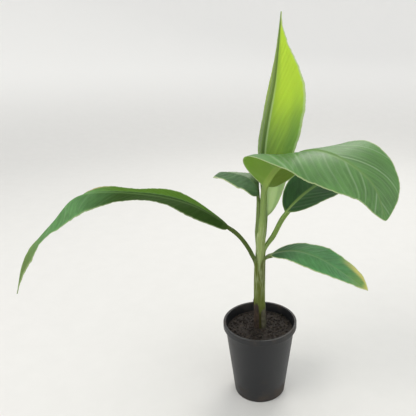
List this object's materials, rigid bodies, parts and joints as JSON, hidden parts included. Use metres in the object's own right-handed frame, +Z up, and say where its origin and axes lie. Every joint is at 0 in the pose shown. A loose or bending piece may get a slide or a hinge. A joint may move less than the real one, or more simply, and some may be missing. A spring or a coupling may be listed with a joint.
{
  "type": "young potted banana plant",
  "caption": "Young green banana plant in a round black nursery pot: slim pale stem, one long arching leaf, broad drooping leaves and one upright new leaf.",
  "frame": {"origin": "middle of the pot's flat underside", "axes": "+Z up; the picture looks along +Y, with +X to its right"},
  "size_m": [0.356, 0.1378, 0.4024],
  "materials": {
    "pot": "satin black plastic",
    "soil": "moist crumbly potting mix",
    "stem": "smooth waxy sheaths",
    "stalk": "smooth waxy",
    "leaf": "satin leaf",
    "blue_green_leaf": "satin leaf",
    "dark_leaf": "satin leaf",
    "new_leaf": "satin leaf",
    "grey_green_leaf": "satin leaf"
  },
  "bodies": {
    "root": {"pot": "pot", "soil": "soil", "pseudostem": "stem", "left_leaf_stalk": "stalk", "left_leaf_inner_blade": "leaf", "left_leaf_outer_blade": "leaf", "low_leaf": "blue_green_leaf", "back_right_leaf_stalk": "stalk", "back_right_leaf_blade": "dark_leaf", "right_leaf_stalk": "stalk", "right_leaf_inner_blade": "leaf", "right_leaf_outer_blade": "leaf", "upright_leaf": "new_leaf", "back_left_leaf_stalk": "stalk", "back_left_leaf_blade": "grey_green_leaf"}
  },
  "joints": []
}
